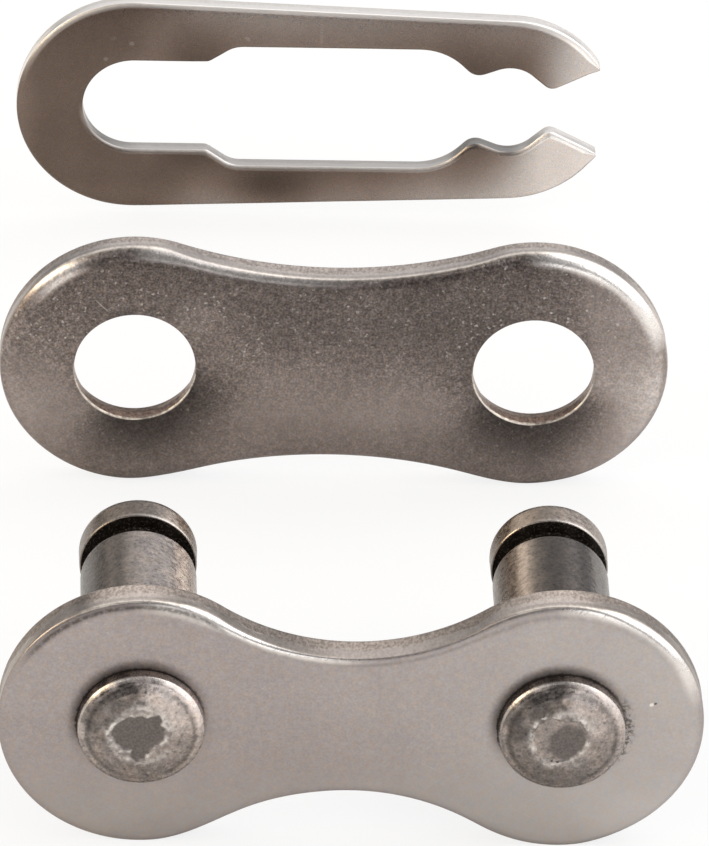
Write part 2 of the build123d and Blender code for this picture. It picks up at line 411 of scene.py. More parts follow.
# ---- materials -------------------------------------------------------------------------------
class Graph:
    """Short calls for building a material out of nodes."""

    def __init__(self, tree):
        self.tree = tree

    def add(self, kind, settings=None, **inputs):
        """A node, with its inputs by name, or by number as i0, i1 and so on."""
        node = self.tree.nodes.new("ShaderNode" + kind)
        for name, value in (settings or {}).items():
            setattr(node, name, value)
        for name, value in inputs.items():
            self.feed(node.inputs[int(name[1:]) if name[1:].isdigit() else name], value)
        return node

    def feed(self, socket, value):
        if isinstance(value, bpy.types.NodeSocket):
            self.tree.links.new(value, socket)
        elif isinstance(value, tuple) and socket.type == "RGBA":
            socket.default_value = (*value, 1)
        else:
            socket.default_value = value

    def math(self, operation, a, b=0.0, clamp=False):
        settings = {"operation": operation, "use_clamp": clamp}
        return self.add("Math", settings, i0=a, i1=b).outputs[0]

    def plus(self, a, b, clamp=False):
        return self.math("ADD", a, b, clamp)

    def times(self, a, b, clamp=False):
        return self.math("MULTIPLY", a, b, clamp)

    def mix(self, factor, a, b, blend="MIX"):
        """Two colours mixed."""
        settings = {"data_type": "RGBA", "blend_type": blend}
        return self.add("Mix", settings, i0=factor, i6=a, i7=b).outputs[2]

    def blend(self, factor, a, b):
        """Two numbers mixed."""
        return self.add("Mix", {"data_type": "FLOAT"}, i0=factor, i2=a, i3=b).outputs[0]

    def scale(self, colour, factor):
        return self.add(
            "VectorMath", {"operation": "SCALE"}, i0=colour, Scale=factor).outputs[0]

    def step(self, value, low, high, to_low=0.0, to_high=1.0):
        """The value's way from low to high, smoothed and spread from to_low to to_high."""
        return self.add(
            "MapRange", {"interpolation_type": "SMOOTHSTEP"},
            i0=value, i1=low, i2=high, i3=to_low, i4=to_high).outputs[0]

    def noise(self, coords, scale, detail=2.0, roughness=0.5, stretch=None, turn=0.0, shift=0.0):
        """Noise of about scale waves per mm; turn comes before stretch."""
        if turn:
            coords = self.add("Mapping", Vector=coords, Rotation=(0, turn, 0)).outputs[0]
        if stretch or shift:
            coords = self.add(
                "Mapping", Vector=coords, Scale=stretch or (1, 1, 1),
                Location=(shift, shift, shift)).outputs[0]
        return self.add(
            "TexNoise", Vector=coords, Scale=scale, Detail=detail, Roughness=roughness
        ).outputs["Fac"]

    def dots(self, coords, scale, near, far):
        """1 in small scattered dots, 0 between them; near and far are shares of a cell."""
        cells = self.add("TexVoronoi", Vector=coords, Scale=scale)
        return self.step(cells.outputs["Distance"], near, far, 1.0, 0.0)

    def fleck(self, coords, x, y, z, long, short, lean):
        """1 in a small ellipse at a place on a face, fading at its rim; lean turns it."""
        near = self.add(
            "Mapping", {"vector_type": "TEXTURE"}, Vector=coords, Location=(x, y, z),
            Rotation=(0, -lean, 0), Scale=(long, 0.5, short)).outputs[0]
        reach = self.add("VectorMath", {"operation": "LENGTH"}, i0=near).outputs["Value"]
        return self.step(reach, 0.5, 1.0, 1.0, 0.0)

    def mark(self, name):
        return self.add("Attribute", {"attribute_name": name}).outputs["Fac"]


def new_material(name):
    material = bpy.data.materials.new(name)
    material.use_nodes = True
    graph = Graph(material.node_tree)
    shader = material.node_tree.nodes["Principled BSDF"]
    coords = graph.add("TexCoord").outputs["Object"]
    coords = graph.add("Mapping", Vector=coords, Scale=(1000, 1000, 1000)).outputs[0]
    return material, graph, shader, coords


def face_colour(g, at, up, noises, face, bright_face, bright_tone, grain, cloud, seed):
    """The satin face, lightened and darkened by the tone's painted light and shade: its mottling
    is weaker where the tone is high and low down.
    """
    fine, middling, broad = noises
    texture = g.plus(g.step(middling, 0.3, 0.7, -0.45 * grain, 0.45 * grain),
                     g.step(fine, 0.28, 0.72, -grain, grain))
    strength = g.times(g.step(g.mark("tone"), 0.05, 0.55, 1.0, 0.5),
                       g.step(up, -2.6, -0.2, 0.55, 1.0))
    shade = g.plus(g.mark("tone"), g.step(broad, 0.3, 0.7, -cloud, cloud))
    shade = g.plus(shade, g.times(texture, strength))
    toned_face = g.mix(g.step(g.mark("tone"), 0.0, bright_tone), face, bright_face)
    tint = g.mix(g.step(g.noise(at, 7.0, 1.0, shift=seed + 9), 0.35, 0.65),
                 (1.03, 1.0, 0.965), (0.975, 1.0, 1.03))
    return g.mix(1.0, g.scale(toned_face, g.math("POWER", 2.0, shade)), tint, "MULTIPLY")


def bright_specks(g, at, up, noises):
    """Small specks of bright steel, in drifts and fewer low down."""
    fine, _, broad = noises
    specks = g.times(g.dots(at, 4.5, 0.12, 0.32), g.step(broad, 0.4, 0.6, 0.2, 1.0))
    specks = g.times(specks, g.step(fine, 0.44, 0.62))
    return g.times(specks, g.step(up, -0.8, 1.2, 0.2, 1.0))


def sheared_wall(g, pits, noises, wall, torn, bore, grain):
    """The side wall's colour, burnished in front and torn behind, and where it is torn."""
    _, middling, broad = noises
    ragged = g.plus(g.mark("band"), g.step(broad, 0.25, 0.75, -0.16, 0.16))
    rip = g.step(g.plus(ragged, g.step(middling, 0.3, 0.7, -0.05, 0.05)), 0.42, 0.60)
    burnished = g.scale(wall, g.step(pits, 0.3, 0.7, 1 - 0.12 * grain, 1 + 0.10 * grain))
    pitted = g.scale(torn, g.step(pits, 0.3, 0.7, 1 - 0.28 * grain, 1 + 0.25 * grain))
    # the wall's tone is painted light and shade
    colour = g.scale(g.mix(rip, burnished, pitted), g.math("POWER", 2.0, g.mark("tone")))
    bore_colour = g.scale(bore, g.step(pits, 0.3, 0.7, 0.5, 1.6))
    return g.mix(g.mark("bore"), colour, bore_colour), rip


def steel(name, face, bright_face, polished, wall, torn, rough, grain, cloud, scratch, specks,
          seed, bore=(0.2, 0.15, 0.12), edge_rough=0.2, wall_grain=1.0, relief=0.5,
          bright_tone=2.2, grime_and_shade=None, flecks=()):
    """Plated stamped steel: a satin face, polished along its edges with painted highlights, and a
    sheared side wall.

    face turns to bright_face as the tone, which carries painted light and shade, rises to
    bright_tone. wall and torn are the two bands of the side wall. flecks are (x, y, z, long,
    short, lean, strength), dark where strength is negative.
    """
    material, g, shader, at = new_material(name)
    up = g.add("SeparateXYZ", Vector=at).outputs["Z"]
    fine = g.noise(at, 13.0, 2.0, 0.6)
    middling = g.noise(at, 5.0, 2.0, 0.5, shift=seed)
    noises = fine, middling, g.noise(at, 0.9, 2.0, 0.5, shift=seed + 3)
    pits = g.noise(at, 11.0, 2.0, 0.65, stretch=(1, 0.6, 1))
    lines = g.math("MAXIMUM", g.noise(at, 1.0, 0.0, stretch=(0.6, 1, 26), turn=0.75, shift=seed),
                   g.noise(at, 1.0, 0.0, stretch=(0.6, 1, 30), turn=-0.5, shift=seed + 5))
    scratches = g.step(lines, 0.70, 0.84)
    edge = g.mark("edge")
    # colour: each layer lies over the one before
    colour = face_colour(g, at, up, noises, face, bright_face, bright_tone, grain, cloud, seed)
    colour = g.mix(g.times(bright_specks(g, at, up, noises), specks), colour, polished)
    colour = g.mix(g.times(scratches, scratch), colour, polished)
    for *place, strength in flecks:
        shown = g.times(g.fleck(at, *place), abs(strength))
        colour = g.mix(shown, colour, polished if strength > 0 else DARK_FLECK)
    # polished edges, brightest where they face up and right: partly wear, partly a painted
    # highlight
    colour = g.mix(g.times(edge, g.step(middling, 0.25, 0.6, 0.8, 1.0)), colour, polished)
    wall_colour, rip = sheared_wall(g, pits, noises, wall, torn, bore, wall_grain)
    colour = g.mix(g.mark("wall"), colour, wall_colour)
    # painted highlight lines along the bores' lower rims and along burrs
    rim = g.times(g.mark("rim"), g.step(middling, 0.35, 0.6, 0.3, 1.0))
    colour = g.mix(rim, colour, RIM_HIGHLIGHT)
    # dark lines and rings: partly dirt, partly painted shade
    dirt_and_shade_mask = g.times(g.mark("dirt"), g.step(g.noise(at, 7.0, 3.0, 0.6), 0.34, 0.54, 0.55, 1.0))
    if grime_and_shade:
        dirt_and_shade_mask = g.math("MAXIMUM", dirt_and_shade_mask, grime_and_shade(g, at))
    g.feed(shader.inputs["Base Color"], g.mix(dirt_and_shade_mask, colour, OILY_DIRT_AND_SHADE))
    shader.inputs["Metallic"].default_value = 1.0
    shine = g.blend(edge, g.step(fine, 0.3, 0.7, rough - 0.06, rough + 0.06), edge_rough)
    shine = g.blend(g.mark("wall"), shine, g.blend(rip, 0.3, 0.45))
    g.feed(shader.inputs["Roughness"], g.blend(dirt_and_shade_mask, shine, 0.8))
    height = g.math("SUBTRACT", fine, g.times(scratches, 0.6))
    torn_wall = g.times(g.mark("wall"), rip)
    height = g.plus(height, g.times(torn_wall, g.times(pits, 2.5 * wall_grain)))
    bump = g.add("Bump", Height=height, Strength=relief, Distance=0.000008)
    g.feed(shader.inputs["Normal"], bump.outputs[0])
    return material


def rivet_grime_and_shade(g, at):
    """Dark rings round both rivets, partly oily dirt and partly painted contact shadow, thickest
    above them, and specks of dirt beside the right one.
    """
    x, _, z = g.add("SeparateXYZ", Vector=at).outputs
    dx = g.math("SUBTRACT", g.math("ABSOLUTE", x), HALF_PITCH)
    radius = g.math("SQRT", g.plus(g.times(dx, dx), g.times(z, z)))
    gap = g.math("SUBTRACT", radius, RIVET_RADIUS)
    side = g.math("SIGN", x)
    across = g.math("DIVIDE", g.times(dx, side), radius)
    above = g.math("DIVIDE", z, radius)
    lean = g.plus(g.times(across, -0.45), g.times(above, 0.85))
    specks = g.noise(at, 8.0, 2.0, 0.6, shift=8.0)
    ragged = g.plus(gap, g.step(specks, 0.3, 0.7, -0.03, 0.03))
    line = g.times(g.step(ragged, 0.02, 0.11, 0.85, 0.0), g.step(lean, -0.5, 0.5, 0.08, 1.0))
    soft = g.times(g.step(ragged, 0.02, 0.44, 0.55, 0.0), g.step(lean, -0.3, 0.7, 0.12, 1.0))
    dots = g.step(g.noise(at, 10.0, 2.0, 0.6, shift=2.0), 0.46, 0.60)
    dots = g.times(dots, g.step(gap, 0.12, 0.38, 0.6, 0.0))
    dots = g.times(dots, g.step(g.times(across, side), 0.75, 0.95))
    dots = g.times(dots, g.step(x, -1.0, 1.0))
    worst = g.math("MAXIMUM", g.math("MAXIMUM", line, soft), dots)
    return g.times(worst, g.math("SUBTRACT", 1.0, g.mark("wall")), clamp=True)


def turned_steel(name, seed):
    """The pins: turned, riveted at one end, handled and pitted."""
    material, g, shader, at = new_material(name)
    cloud = g.noise(at, 2.2, 3.0, 0.6, shift=seed)
    mottle = g.noise(at, 6.5, 3.0, 0.6, shift=seed + 4)
    grain = g.noise(at, 13.0, 2.0, 0.65, shift=seed)
    texture = g.plus(g.step(mottle, 0.3, 0.7, -0.26, 0.26), g.step(grain, 0.3, 0.7, -0.22, 0.22))
    pits = g.dots(at, 5.0, 0.15, 0.34)
    texture = g.math("SUBTRACT", texture, g.times(pits, 0.5))
    texture = g.times(texture, g.step(g.mark("tone"), 0.4, 1.4, 1.0, 0.4))
    shade = g.plus(g.mark("tone"), g.step(cloud, 0.3, 0.7, -0.15, 0.15))
    shade = g.plus(shade, texture)
    tint = g.mix(g.step(cloud, 0.42, 0.68), PIN_GREY, PIN_WARM)
    tint = g.mix(g.mark("tan"), tint, PIN_TAN_AND_GOLD_REFLECTION)
    colour = g.scale(tint, g.math("POWER", 2.0, shade))
    # polished edges with painted highlights
    colour = g.mix(g.mark("edge"), colour, PIN_POLISH_AND_HIGHLIGHT)
    sunk = g.scale(STAKE_GREY, g.step(grain, 0.3, 0.7, 0.82, 1.18))
    colour = g.mix(g.mark("mark"), colour, sunk)
    flecks = g.times(g.mark("rim"), g.step(mottle, 0.36, 0.6, 0.35, 1.0))
    colour = g.mix(flecks, colour, STAKE_FLECKS)
    # the groove and the pin's base are darkened, partly dirt and partly painted shade
    grime_and_shade = g.times(g.mark("dirt"), g.step(cloud, 0.2, 0.6, 0.85, 1.0), clamp=True)
    groove = g.mix(g.step(grain, 0.50, 0.72), GROOVE_DIRT_AND_SHADE, GROOVE_SPECKS)
    g.feed(shader.inputs["Base Color"], g.mix(grime_and_shade, colour, groove))
    shader.inputs["Metallic"].default_value = 1.0
    shine = g.blend(g.mark("mark"), g.step(mottle, 0.3, 0.7, 0.22, 0.36), 0.6)
    g.feed(shader.inputs["Roughness"], g.blend(grime_and_shade, shine, 0.7))
    bump = g.add("Bump", Height=mottle, Strength=0.6, Distance=0.00002)
    g.feed(shader.inputs["Normal"], bump.outputs[0])
    return material


pin_plate_steel = steel(
    "pin_plate_steel", face=(0.332, 0.294, 0.289), bright_face=(0.322, 0.300, 0.292),
    polished=(0.74, 0.70, 0.67), wall=(0.62, 0.54, 0.49), torn=(0.52, 0.44, 0.39),
    rough=0.34, grain=0.13, cloud=0.03, scratch=0.05, specks=0.10,
    seed=1.7, wall_grain=1.2, bright_tone=0.6, grime_and_shade=rivet_grime_and_shade,
    flecks=[(9.02, PLATE_FRONT, 0.90, 0.10, 0.075, 0.5, 1.0),
            (9.13, PLATE_FRONT, 0.94, 0.07, 0.05, 0.5, -0.8)])
cover_steel = steel(
    "cover_steel", face=(0.196, 0.166, 0.155), bright_face=(0.188, 0.173, 0.166),
    polished=(0.84, 0.80, 0.77), wall=(0.56, 0.50, 0.47), torn=(0.46, 0.40, 0.37),
    bore=(0.15, 0.10, 0.076), rough=0.36, grain=0.62, cloud=0.08, scratch=0.06, specks=0.55,
    seed=4.3, edge_rough=0.22, wall_grain=1.1,
    flecks=[(-7.44, COVER_FRONT, 2.27, 0.42, 0.022, -0.80, 0.35),
            (-4.6, COVER_FRONT, 1.9, 0.9, 0.8, 0.0, 0.03)])
clip_steel = steel(
    "clip_steel", face=(0.138, 0.104, 0.087), bright_face=(0.120, 0.110, 0.105),
    polished=(0.63, 0.60, 0.58), wall=(0.76, 0.73, 0.71), torn=(0.68, 0.65, 0.63),
    rough=0.30, grain=0.06, cloud=0.05, scratch=0.02, specks=0.0,
    seed=7.9, edge_rough=0.60, wall_grain=0.15, relief=0.08,
    flecks=[(-7.20, CLIP_FRONT, 1.77, 0.10, 0.10, 0.0, 0.14),
            (-6.35, CLIP_FRONT, 2.38, 0.11, 0.10, 0.0, 0.16),
            (-6.96, CLIP_FRONT, 2.56, 0.11, 0.10, 0.0, 0.05),
            (-2.53, CLIP_FRONT, 2.62, 0.14, 0.09, -0.6, 0.16),
            (-0.08, CLIP_FRONT, 2.90, 0.08, 0.65, 0.0, 0.08)])
left_pin_steel = turned_steel("left_pin_steel", 2.0)
right_pin_steel = turned_steel("right_pin_steel", 9.0)


# ---- pin plate -------------------------------------------------------------------------------
def pin_gap(x, z):
    """Distance to the nearer pin's axis."""
    return min(hypot(x - HALF_PITCH, z), hypot(x + HALF_PITCH, z))


def plate_lift(x, z, gap):
    """The face falls away a little towards the outline, and is pressed in round the rivets."""
    pressed = exp(-((pin_gap(x, z) - 1.9) / 0.35) ** 2)
    return (0.012 + 0.010 * wave(x, 0, z, 0.25, 5.0) + 0.02 * pressed
            + 0.03 * exp(-gap / 0.5))


def plate_tone(x, z):
    """Painted light: lighter towards the right and towards the lower edge."""
    return (0.12 + 0.32 * smooth(-5, 11, x) + 0.28 * smooth(-1.0, -3.6, z)
            + 0.05 * wave(x, 0, z, 0.4, 21.0))


def rubbed_and_lit(low, high, across=0.6, up=0.8):
    """Edges are polished, brightest where they face up and to the right: partly wear, partly a
    painted highlight.
    """
    return lambda point, out: smooth(low, high, across * out.x + up * out.y)


def plate_shade_line(point, out, turn):
    """A painted dark line along the top, a painted dark reflection: close under the rim on the
    left lobe, lower on the right.
    """
    left = smooth(-3.4, -4.6, point.x)
    line = stripe(turn, 0.36 + 0.34 * left, 0.20)
    return (0.25 + 0.50 * left) * smooth(0.4, 0.75, out.y) * line


def plate_wall_tone(point, out):
    """Painted light and shade on the side wall: lightest straight above, darker where it turns
    down, with a painted shadow beside the left pin's shank.
    """
    tone = -0.05 - 1.1 * smooth(0.15, 0.6, -out.x) - 1.1 * smooth(0, 0.35, out.x)
    tone -= 0.3 * smooth(0.35, 0.7, out.x) + 0.35 * smooth(4.5, 2.0, abs(point.x))
    return tone - 1.0 * exp(-((point.x + 8.2) / 0.3) ** 2) * smooth(0, 1, point.y)


# Painted highlight: a bright line along the lobes' top edges, a burr's highlight, with a painted
# dark crease behind it.
def plate_burr_highlight(point, out):
    return 0.6 * smooth(0.85, 0.97, out.y) * smooth(4.2, 5.2, abs(point.x))


shell = Shell()
outline = plate_loop(PIN_PLATE_WAIST)
loops = [(outline, outline.roll(
    0.50, 0.32, 2.0, lambda out: 0.30 + 0.32 * smooth(0.1, 0.55, out.x)), 0.0)]
for x in (-HALF_PITCH, HALF_PITCH):
    hole = hole_loop(x, PIN_RADIUS + RIVET_SWELL)
    loops.append((hole, ([0.01] * len(hole.points),) * 2, 0.0))
sheet(shell, loops, PLATE_FRONT, PLATE_BACK, FACE_SPACING, 3.0, plate_lift, plate_tone,
      plate_wall_tone, rubbed_and_lit(0.72, 0.92), shade_line=plate_shade_line, burr_highlight=plate_burr_highlight)
pin_plate = shell.make("pin_plate_sheet", pin_plate_steel)
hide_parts("pin_plate")
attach(pin_plate, "pin_link")


# ---- cover plate -----------------------------------------------------------------------------
def cover_lift(x, z, gap):
    """The face dips round each hole, where the punch pulled it in, and along the outline."""
    hole = pin_gap(x, z) - COVER_HOLE
    return (0.06 * exp(-max(0.0, hole) / 0.4) + 0.045 * exp(-gap / 0.6)
            + 0.012 + 0.010 * wave(x, 0, z, 0.22, 8.0))


def cover_tone(x, z):
    """Painted light and shade: dull above the middle and beside the holes, lighter below and at
    the right end.
    """
    tone = 0.48 - 0.66 * smooth(-1.2, 1.6, z) - 0.25 * smooth(-1.6, -2.8, z)
    tone += 0.7 * smooth(6.9, 8.4, x) + 0.35 * smooth(8.4, 10.4, x) + 0.2 * smooth(-7.6, -9.8, x)
    cx = -HALF_PITCH if x < 0 else HALF_PITCH
    dx = x - cx
    gap = max(0.0, hypot(dx, z) - COVER_HOLE)
    angle = atan2(z, dx)
    # painted shade below and beside each hole, darkest just at its edge
    lee = cos(angle + (1.15 if x < 0 else 1.45))
    tone -= 2.0 * exp(-((gap / 1.2) ** 2)) * smooth(0.25, 0.85, lee)
    tone -= 0.25 * exp(-gap / 0.25)
    # more painted shade left of the right hole, and a painted light patch to the upper right of
    # the left hole
    if x > 0:
        tone -= 0.45 * exp(-((gap / 1.3) ** 2)) * smooth(0.2, 0.8, cos(angle - 3.0))
    else:
        tone += 0.45 * exp(-((dx - 2.1) / 0.9) ** 2 - ((z - 1.5) / 0.9) ** 2)
    return tone + 0.10 * wave(x, 0, z, 0.5, 31.0) + 0.07 * wave(x, 0, z, 1.6, 33.0)


def cover_wall_tone(point, out):
    # Painted light and shade: the side wall darkens as it turns to face the sides, and is lighter
    # again facing right.
    return -0.15 - 0.6 * smooth(0.1, 0.4, abs(out.x)) + 0.4 * smooth(0.6, 0.85, out.x)


def cover_rub_and_highlight(point, out):
    """The left lobe's edge is brightened less than the right one's: partly wear, partly a painted
    highlight.
    """
    return rubbed_and_lit(0.72, 0.90)(point, out) * (0.45 + 0.55 * smooth(0, 4, point.x))


def cover_highlight(point, out):
    """A painted highlight on the roll at the right lobe's upper right and the left lobe's upper
    left.
    """
    right = 0.9 * smooth(0.05, 0.4, out.x) * smooth(0.1, 0.5, out.y)
    left = 2.3 * smooth(0.3, 0.55, -out.x) * smooth(0.5, 0.8, out.y)
    return right * (0.1 + 0.9 * smooth(0, 4, point.x)) + left


# Painted highlight: a bright line along the top edges, a burr's highlight, with a painted dark
# crease behind it.
def cover_burr_highlight(point, out):
    return 0.5 * smooth(0.6, 0.85, out.y) * smooth(0.3, 0.1, out.x)


shell = Shell()
outline = plate_loop(COVER_WAIST)
loops = [(outline, outline.roll(
    0.57, 0.38, 6.0, lambda out: 0.60 + 0.15 * smooth(-0.1, 0.3, out.x)), 0.0)]
for x in (-HALF_PITCH, HALF_PITCH):
    hole = hole_loop(x, COVER_HOLE)
    loops.append((hole, ([0.07] * len(hole.points),) * 2, 1.0))
sheet(shell, loops, COVER_FRONT, COVER_BACK, FACE_SPACING, 7.0, cover_lift, cover_tone,
      cover_wall_tone, cover_rub_and_highlight, painted_highlight=cover_highlight, burr_highlight=cover_burr_highlight)
cover = shell.make("cover_sheet", cover_steel)
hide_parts("cover_plate")
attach(cover, "cover")


# ---- spring clip -----------------------------------------------------------------------------
def three_point_arc(a, b, c, step):
    """Points on the circle through a, b and c, from a to c."""
    ab, ac = b - a, c - a
    d = 2 * ab.cross(ac)
    centre = a + Vector((
        ac.y * ab.length_squared - ab.y * ac.length_squared,
        ab.x * ac.length_squared - ac.x * ab.length_squared,
    )) / d
    radius = (a - centre).length
    start = atan2(a.y - centre.y, a.x - centre.x)
    end = atan2(c.y - centre.y, c.x - centre.x)
    turn = (end - start + pi) % (2 * pi) - pi
    return arc(centre, radius, start, start + turn, step)


def clip_loop(step=0.045):
    """The clip's outline: the upper arm, the closed round end, the lower arm, then the slot."""
    eye = Vector((CLIP_EYE_X, 0))
    end_radius, slot_half = 3.88, 1.68
    arm_end, shoulder, tip = Vector((6.45, 3.38)), Vector((8.12, 2.80)), Vector((9.22, 1.62))
    reach = arm_end.x - eye.x
    turn = atan2(arm_end.y, reach) + acos(end_radius / hypot(reach, arm_end.y))
    leave = eye + end_radius * Vector((cos(turn), sin(turn)))
    outer = list(reversed(three_point_arc(arm_end, shoulder, tip, step)))
    outer += rounded([(*arm_end, 0), (*leave, 0)], step)[1:]
    inner = rounded([
        (eye.x, slot_half, 0), (-3.78, slot_half, 0.3), (-2.95, 2.26, 0.9), (4.05, 2.26, 2.0),
        (5.06, 1.21, 0.5), (6.45, 1.78, 1.1), (7.58, 0.76, 0.33), (*tip, 0)], step)

    def flip(path):
        return [Vector((p.x, -p.y)) for p in reversed(path)]

    return Loop(
        outer
        + arc(eye, end_radius, turn, 2 * pi - turn, step)[1:]
        + flip(outer)[1:]
        + flip(inner)[1:]
        + arc(eye, slot_half, 1.5 * pi, 0.5 * pi, step)[1:]
        + inner[1:],
        soften=4,
    )


def clip_lift(x, z, gap):
    """The face is almost flat, and falls away just inside its outline."""
    return 0.008 + 0.008 * wave(x, 0, z, 0.2, 12.0) + 0.02 * exp(-gap / 0.25)


def clip_tone(x, z):
    """Painted light and shade: lighter along the outside and towards the arms' tips, the lower one
    most, with a darker patch on the lower arm.
    """
    lower = 1 - smooth(-0.5, 0.5, z)
    upper_tone = 1.0 * smooth(-6.5, -2, x) - 0.2 * smooth(1, 4, x) + 0.1 * smooth(4.5, 6.5, x)
    upper_tone += 1.5 * smooth(6.5, 8.8, x) + 0.45 * exp(-((x + 5.6) / 0.9) ** 2)
    upper_tone += 0.9 * (z - 2.8) * smooth(-6, -4, x) * smooth(8, 6, x)
    lower_tone = 0.60 * smooth(-5.5, -2.8, x) - 0.2 * smooth(-1.8, -0.2, x)
    lower_tone += 0.75 * smooth(1.2, 4.5, x) + 1.35 * smooth(4.5, 7.8, x)
    lower_tone -= 1.0 * (z + 2.8) * smooth(-6, -4, x) * smooth(7.5, 5.5, x)
    lower_tone += 0.4 * smooth(-2.6, -3.6, z) * smooth(-4, -6, x)
    spot = exp(-((x + 1.65) / 1.3) ** 2 - ((z + 3.0) / 0.8) ** 2)
    tone = upper_tone * (1 - lower) + (lower_tone - 1.5 * spot) * lower
    tone += 0.45 * smooth(-9.2, -10.1, x)
    return tone + 0.10 * wave(x, 0, z, 0.6, 41.0)


def clip_shade(point):
    """The slot's lower edge is duller, most of all at its ridge and at its closed end."""
    lower = smooth(0, -1, point.y)
    ridge = smooth(4.2, 4.7, point.x) * smooth(6.9, 6.2, point.x)
    closed = smooth(-5.8, -7.2, point.x) * smooth(2.6, 2.2, hypot(point.x - CLIP_EYE_X, point.y))
    return lower * (0.7 + 0.9 * ridge - 0.65 * smooth(7.0, 7.5, point.x)) + 0.8 * closed


def clip_wall_tone(point, out):
    return -clip_shade(point)


def clip_rub_and_highlight(point, out):
    """Edges that face up are brightened, partly worn and partly by a painted highlight, where
    clip_shade leaves them bright.
    """
    return rubbed_and_lit(0.0, 0.7, 0.12, 0.9)(point, out) * (1 - 0.75 * max(0.0, clip_shade(point) - 0.5))


def clip_highlight(point, out):
    # A painted highlight on the roll, along the brightened edges.
    return 1.2 * clip_rub_and_highlight(point, out)


shell = Shell()
outline = clip_loop()
loops = [(outline, outline.roll(0.21, 0.17, 9.0, lambda out: 0.7), 0.0)]
sheet(shell, loops, CLIP_FRONT, CLIP_BACK, CLIP_SPACING, 11.0, clip_lift, clip_tone,
      clip_wall_tone, clip_rub_and_highlight, rub_and_highlight_span=(0.0, 1.0), painted_highlight=clip_highlight, wall_rows=6,
      back_edge=0.04, rough_wall=0.003)
clip = shell.make("clip_sheet", clip_steel)
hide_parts("spring_clip")
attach(clip, "clip")


# ---- pins ------------------------------------------------------------------------------------
# outlines of the worn marks that the stake punch left on the riveted heads
LEFT_STAKE = [
    (-0.95, 0.11), (-0.77, 0.38), (-0.56, 0.57), (-0.33, 0.67), (0.04, 0.68), (0.18, 0.63),
    (0.54, 0.75), (0.64, 0.51), (0.61, 0.38), (0.74, 0.27), (0.71, -0.11), (0.45, -0.33),
    (0.27, -0.51), (0.13, -0.76), (-0.16, -0.92), (-0.33, -0.79), (-0.30, -0.54),
    (-0.56, -0.49), (-0.79, -0.27),
]
RIGHT_STAKE = [
    (-0.87, 0.36), (-0.76, 0.58), (-0.40, 0.83), (0.08, 0.71), (0.51, 0.71), (0.67, 0.44),
    (0.75, 0.07), (0.61, -0.32), (0.42, -0.43), (0.22, -0.66), (-0.11, -0.79), (-0.49, -0.71),
    (-0.76, -0.43), (-0.90, -0.04),
]


def depth_in(polygon, x, z):
    """Distance to the polygon's edge: positive inside, negative outside."""
    inside, near = False, 1e9
    for (ax, az), (bx, bz) in zip(polygon, polygon[1:] + polygon[:1]):
        if (az > z) != (bz > z) and x < (bx - ax) * (z - az) / (bz - az) + ax:
            inside = not inside
        dx, dz = bx - ax, bz - az
        t = max(0.0, min(1.0, ((x - ax) * dx + (z - az) * dz) / (dx * dx + dz * dz)))
        near = min(near, hypot(x - ax - t * dx, z - az - t * dz))
    return near if inside else -near


def pin_section():
    """Radius and station from the middle of the riveted head to the middle of the end head."""
    front = rounded([
        (0.93, RIVET_TOP + 0.02, 0), (1.05, RIVET_TOP + 0.03, 0.3), (1.45, RIVET_TOP + 0.115, 0.8),
        (1.80, RIVET_TOP + 0.255, 0.3), (RIVET_RADIUS - 0.01, RIVET_SHOULDER, 0.06),
        (RIVET_RADIUS, PLATE_FRONT, 0), (PIN_RADIUS + RIVET_SWELL, PLATE_FRONT, 0),
        (PIN_RADIUS, PLATE_BACK, 0),
    ], 0.035)
    shank = rounded([
        (PIN_RADIUS, PLATE_BACK, 0), (PIN_RADIUS, SHANK_END, 0.05), (NECK_RADIUS, SHANK_END, 0.06),
        (NECK_RADIUS, HEAD_START, 0.06), (END_HEAD_RADIUS - 0.02, HEAD_START, 0.05),
        (END_HEAD_RADIUS, PIN_END - END_ROUND_LENGTH, 0),
    ], 0.12)
    rim = [
        Vector((END_HEAD_RADIUS - END_ROUND_WIDTH + END_ROUND_WIDTH * cos(a),
                PIN_END - END_ROUND_LENGTH + END_ROUND_LENGTH * sin(a)))
        for a in [pi / 2 * k / RIM_ROWS for k in range(1, RIM_ROWS + 1)]
    ]
    end = [Vector((r, PIN_END)) for r in (1.1, 0.8, 0.5, 0.2)]
    return front + shank[1:] + rim + end


def dome_tone(angle, radius, seed):
    """Painted light and shade on the riveted head: dull at its upper left, a painted highlight at
    its upper right.
    """
    dx, z = radius * cos(angle), radius * sin(angle)
    drift = angle + 0.30 * wave(dx, seed, z, 1.3, seed) + 0.12 * wave(dx, seed, z, 5.0, seed)
    inner = smooth(0.75, 1.05, radius)
    dull = smooth(1.55, 1.75, drift) * smooth(3.6, 3.0, drift)
    bright = smooth(1.70, 1.45, drift) * smooth(-0.3, 0.5, drift)
    tone = 0.15 - 1.05 * inner * dull * smooth(-0.5, 0.3, wave(dx, seed, z, 2.4, seed + 6))
    tone += 0.72 * inner * bright - 0.35 * stripe(drift, 4.4, 0.9) * inner
    tone += 0.20 * wave(dx, seed, z, 6.0, seed + 2) + 0.15 * wave(dx, seed, z, 11.0, seed + 4)
    # the turned-over ring along the shoulder is painted lighter, most at the left and right, with
    # a darker ring inside it
    level = smooth(0.2, 0.8, abs(cos(angle)))
    tone += (0.10 + 0.50 * level) * smooth(1.66, 1.76, radius)
    tone -= (0.20 + 0.45 * level) * exp(-((radius - 1.60) / 0.06) ** 2)
    return tone


